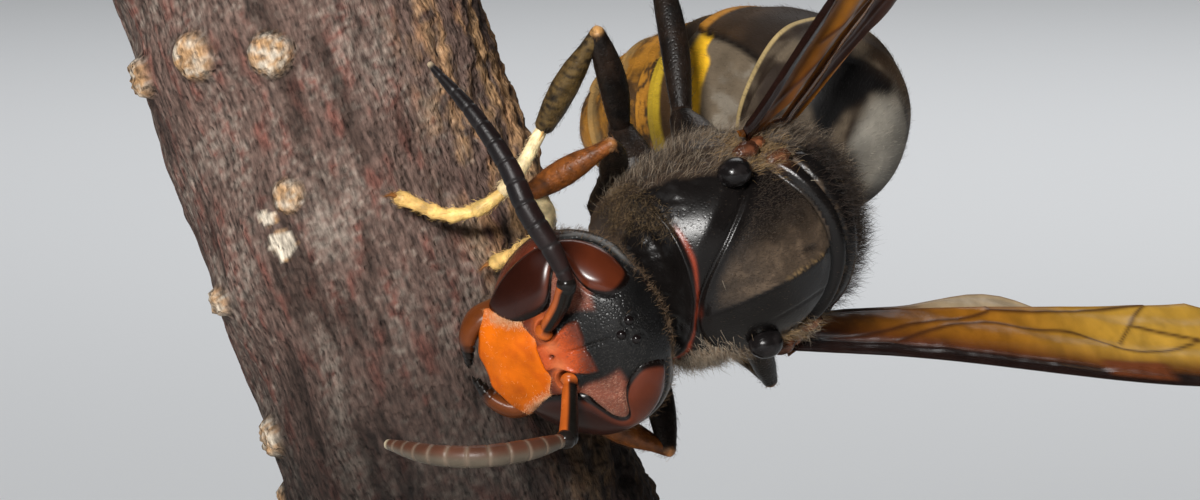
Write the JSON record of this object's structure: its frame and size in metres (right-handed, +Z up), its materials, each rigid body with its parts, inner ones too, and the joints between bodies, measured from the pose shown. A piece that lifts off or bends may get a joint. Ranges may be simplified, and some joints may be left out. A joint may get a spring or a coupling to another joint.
{
  "type": "asian hornet model",
  "caption": "Life-size asian hornet worker with spread wings gripping a short cut length of branch, on a plain display stand.",
  "frame": {"origin": "centre of the underside of the stand's base plate", "axes": "+Z up; +X to the right of the front view; +Y away from the viewer, into the picture"},
  "size_m": [0.05, 0.038, 0.0412],
  "materials": {
    "chitin": "satin black-brown cuticle",
    "banded_chitin": "satin orange-brown cuticle",
    "face": "finely haired orange cuticle",
    "eye": "glossy dark red-brown",
    "tarsus": "pale yellow, softly shining",
    "membrane": "amber, thin and shining",
    "bark": "rough red-brown bark",
    "stand_plate": "plain satin grey",
    "stand_steel": "brushed"
  },
  "bodies": {
    "root": {"abdomen_1": "chitin", "abdomen_2": "chitin", "abdomen_3": "chitin", "abdomen_4": "banded_chitin", "abdomen_5": "banded_chitin", "abdomen_6": "banded_chitin", "antenna_left_flagellum": "chitin", "antenna_left_scape": "chitin", "antenna_right_flagellum": "chitin", "antenna_right_scape": "chitin", "clypeus": "face", "eye_left": "eye", "eye_right": "eye", "forewing_left": "membrane", "forewing_right": "membrane", "head": "chitin", "hindwing_left": "membrane", "hindwing_right": "membrane", "leg_front_left_coxa": "chitin", "leg_front_left_femur": "chitin", "leg_front_left_tarsus": "tarsus", "leg_front_left_tibia": "chitin", "leg_front_right_coxa": "chitin", "leg_front_right_femur": "chitin", "leg_front_right_tarsus": "tarsus", "leg_front_right_tibia": "chitin", "leg_hind_left_coxa": "chitin", "leg_hind_left_femur": "chitin", "leg_hind_left_tarsus": "tarsus", "leg_hind_left_tibia": "chitin", "leg_hind_right_coxa": "chitin", "leg_hind_right_femur": "chitin", "leg_hind_right_tarsus": "tarsus", "leg_hind_right_tibia": "chitin", "leg_middle_left_coxa": "chitin", "leg_middle_left_femur": "chitin", "leg_middle_left_tarsus": "tarsus", "leg_middle_left_tibia": "chitin", "leg_middle_right_coxa": "chitin", "leg_middle_right_femur": "chitin", "leg_middle_right_tarsus": "tarsus", "leg_middle_right_tibia": "chitin", "mandible_left": "face", "mandible_right": "face", "mesothorax": "chitin", "neck": "chitin", "perch_branch": "bark", "pronotum": "chitin", "propodeum": "chitin", "scutellum": "chitin", "stand_base": "stand_plate", "stand_rod": "stand_steel", "tegula_left": "chitin", "tegula_right": "chitin"}
  },
  "joints": []
}
